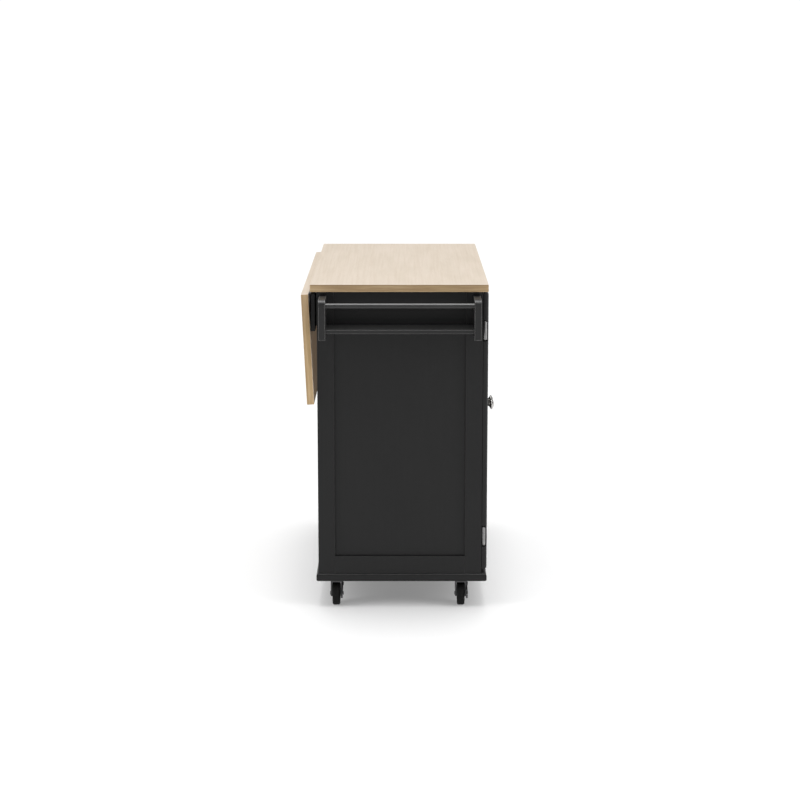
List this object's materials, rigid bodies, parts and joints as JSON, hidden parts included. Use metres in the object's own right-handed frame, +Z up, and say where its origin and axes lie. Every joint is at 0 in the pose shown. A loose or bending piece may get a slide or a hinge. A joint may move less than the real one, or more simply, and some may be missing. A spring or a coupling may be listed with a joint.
{
  "type": "kitchen island cart",
  "caption": "Black kitchen island cart with a light wood worktop, rear drop leaf, end spice rack, doors, drawers and casters.",
  "frame": {"origin": "on the floor, under the middle of the whole cart's outline", "axes": "+Z up, X along the worktop with the spice rack at -X, doors and drawers facing -Y, drop leaf at +Y"},
  "size_m": [1.107, 0.5426, 0.914],
  "materials": {
    "top_wood": "clear satin lacquer",
    "black_paint": "satin black paint on wood",
    "inner_board": "bare sanded board",
    "nickel": "satin nickel plate",
    "zinc_steel": "dark zinc plate",
    "black_steel": "painted with the cabinet",
    "tread_rubber": "matt black tread and hub",
    "black_plastic": "moulded"
  },
  "bodies": {
    "cabinet": {"worktop": "top_wood", "base_board": "black_paint", "left_end_frame": "black_paint", "left_end_panel": "black_paint", "right_end_frame": "black_paint", "right_end_panel": "black_paint", "partition": "black_paint", "back_panel": "black_paint", "rear_rail": "black_paint", "front_rails": "black_paint", "shelf": "inner_board", "shelf_pins": "zinc_steel", "rack_sides": "black_paint", "rack_shelf": "black_paint", "rack_rail": "black_paint", "rack_screws": "zinc_steel", "leaf_support_left": "black_paint", "leaf_support_right": "black_paint", "support_hinges": "black_steel", "leaf_hinge_plates": "nickel", "door_hinge_plates": "nickel", "drawer_runners": "zinc_steel", "caster_plates": "zinc_steel", "caster_screws": "zinc_steel", "door_catches": "black_plastic"},
    "leaf": {"drop_leaf": "top_wood", "leaf_hinge_flaps": "nickel"},
    "door_left": {"door_left_frame": "black_paint", "door_left_panel": "black_paint", "door_left_hinges": "nickel", "door_left_knob": "nickel"},
    "door_mid": {"door_mid_frame": "black_paint", "door_mid_panel": "black_paint", "door_mid_hinges": "nickel", "door_mid_knob": "nickel"},
    "drawer_bottom": {"drawer_bottom_front": "black_paint", "drawer_bottom_box": "inner_board", "drawer_bottom_knob": "nickel", "drawer_bottom_slides": "zinc_steel"},
    "drawer_middle": {"drawer_middle_front": "black_paint", "drawer_middle_box": "inner_board", "drawer_middle_knob": "nickel", "drawer_middle_slides": "zinc_steel"},
    "drawer_top": {"drawer_top_front": "black_paint", "drawer_top_box": "inner_board", "drawer_top_knob": "nickel", "drawer_top_slides": "zinc_steel"},
    "caster_left_rear": {"caster_left_rear_fork": "zinc_steel"},
    "caster_left_rear_wheel": {"caster_left_rear_wheel": "tread_rubber"},
    "caster_left_rear_brake": {"caster_left_rear_brake": "zinc_steel"},
    "caster_left_front": {"caster_left_front_fork": "zinc_steel"},
    "caster_left_front_wheel": {"caster_left_front_wheel": "tread_rubber"},
    "caster_left_front_brake": {"caster_left_front_brake": "zinc_steel"},
    "caster_right_rear": {"caster_right_rear_fork": "zinc_steel"},
    "caster_right_rear_wheel": {"caster_right_rear_wheel": "tread_rubber"},
    "caster_right_rear_brake": {"caster_right_rear_brake": "zinc_steel"},
    "caster_right_front": {"caster_right_front_fork": "zinc_steel"},
    "caster_right_front_wheel": {"caster_right_front_wheel": "tread_rubber"},
    "caster_right_front_brake": {"caster_right_front_brake": "zinc_steel"}
  },
  "joints": [
    {"name": "leaf_swing", "type": "hinge", "parent": "cabinet", "child": "leaf", "pos_m": [0.0455, 0.24669, 0.8893], "axis": [1, 0, 0], "range_deg": [0, 92.7]},
    {"name": "door_left_swing", "type": "hinge", "parent": "cabinet", "child": "door_left", "pos_m": [-0.4433, -0.23191, 0.502], "axis": [0, 0, -1], "range_deg": [0, 110]},
    {"name": "door_mid_swing", "type": "hinge", "parent": "cabinet", "child": "door_mid", "pos_m": [0.20363, -0.23191, 0.502], "axis": [0, 0, 1], "range_deg": [0, 80]},
    {"name": "drawer_bottom_slide", "type": "slide", "parent": "cabinet", "child": "drawer_bottom", "axis": [0, -1, 0], "range_m": [0, 0.3]},
    {"name": "drawer_middle_slide", "type": "slide", "parent": "cabinet", "child": "drawer_middle", "axis": [0, -1, 0], "range_m": [0, 0.3]},
    {"name": "drawer_top_slide", "type": "slide", "parent": "cabinet", "child": "drawer_top", "axis": [0, -1, 0], "range_m": [0, 0.3]},
    {"name": "caster_left_rear_swivel", "type": "hinge", "parent": "cabinet", "child": "caster_left_rear", "pos_m": [-0.3915, 0.18069, 0.07], "axis": [0, 0, 1], "continuous": true},
    {"name": "caster_left_rear_roll", "type": "hinge", "parent": "caster_left_rear", "child": "caster_left_rear_wheel", "pos_m": [-0.4115, 0.18069, 0.0325], "axis": [0, 1, 0], "continuous": true},
    {"name": "caster_left_rear_brake", "type": "hinge", "parent": "caster_left_rear", "child": "caster_left_rear_brake", "pos_m": [-0.3955, 0.18069, 0.056], "axis": [0, -1, 0], "range_deg": [0, 12]},
    {"name": "caster_left_front_swivel", "type": "hinge", "parent": "cabinet", "child": "caster_left_front", "pos_m": [-0.3915, -0.16931, 0.07], "axis": [0, 0, 1], "continuous": true},
    {"name": "caster_left_front_roll", "type": "hinge", "parent": "caster_left_front", "child": "caster_left_front_wheel", "pos_m": [-0.4115, -0.16931, 0.0325], "axis": [0, 1, 0], "continuous": true},
    {"name": "caster_left_front_brake", "type": "hinge", "parent": "caster_left_front", "child": "caster_left_front_brake", "pos_m": [-0.3955, -0.16931, 0.056], "axis": [0, -1, 0], "range_deg": [0, 12]},
    {"name": "caster_right_rear_swivel", "type": "hinge", "parent": "cabinet", "child": "caster_right_rear", "pos_m": [0.4825, 0.18069, 0.07], "axis": [0, 0, 1], "continuous": true},
    {"name": "caster_right_rear_roll", "type": "hinge", "parent": "caster_right_rear", "child": "caster_right_rear_wheel", "pos_m": [0.4625, 0.18069, 0.0325], "axis": [0, 1, 0], "continuous": true},
    {"name": "caster_right_rear_brake", "type": "hinge", "parent": "caster_right_rear", "child": "caster_right_rear_brake", "pos_m": [0.4785, 0.18069, 0.056], "axis": [0, -1, 0], "range_deg": [0, 12]},
    {"name": "caster_right_front_swivel", "type": "hinge", "parent": "cabinet", "child": "caster_right_front", "pos_m": [0.4825, -0.16931, 0.07], "axis": [0, 0, 1], "continuous": true},
    {"name": "caster_right_front_roll", "type": "hinge", "parent": "caster_right_front", "child": "caster_right_front_wheel", "pos_m": [0.4625, -0.16931, 0.0325], "axis": [0, 1, 0], "continuous": true},
    {"name": "caster_right_front_brake", "type": "hinge", "parent": "caster_right_front", "child": "caster_right_front_brake", "pos_m": [0.4785, -0.16931, 0.056], "axis": [0, -1, 0], "range_deg": [0, 12]}
  ]
}
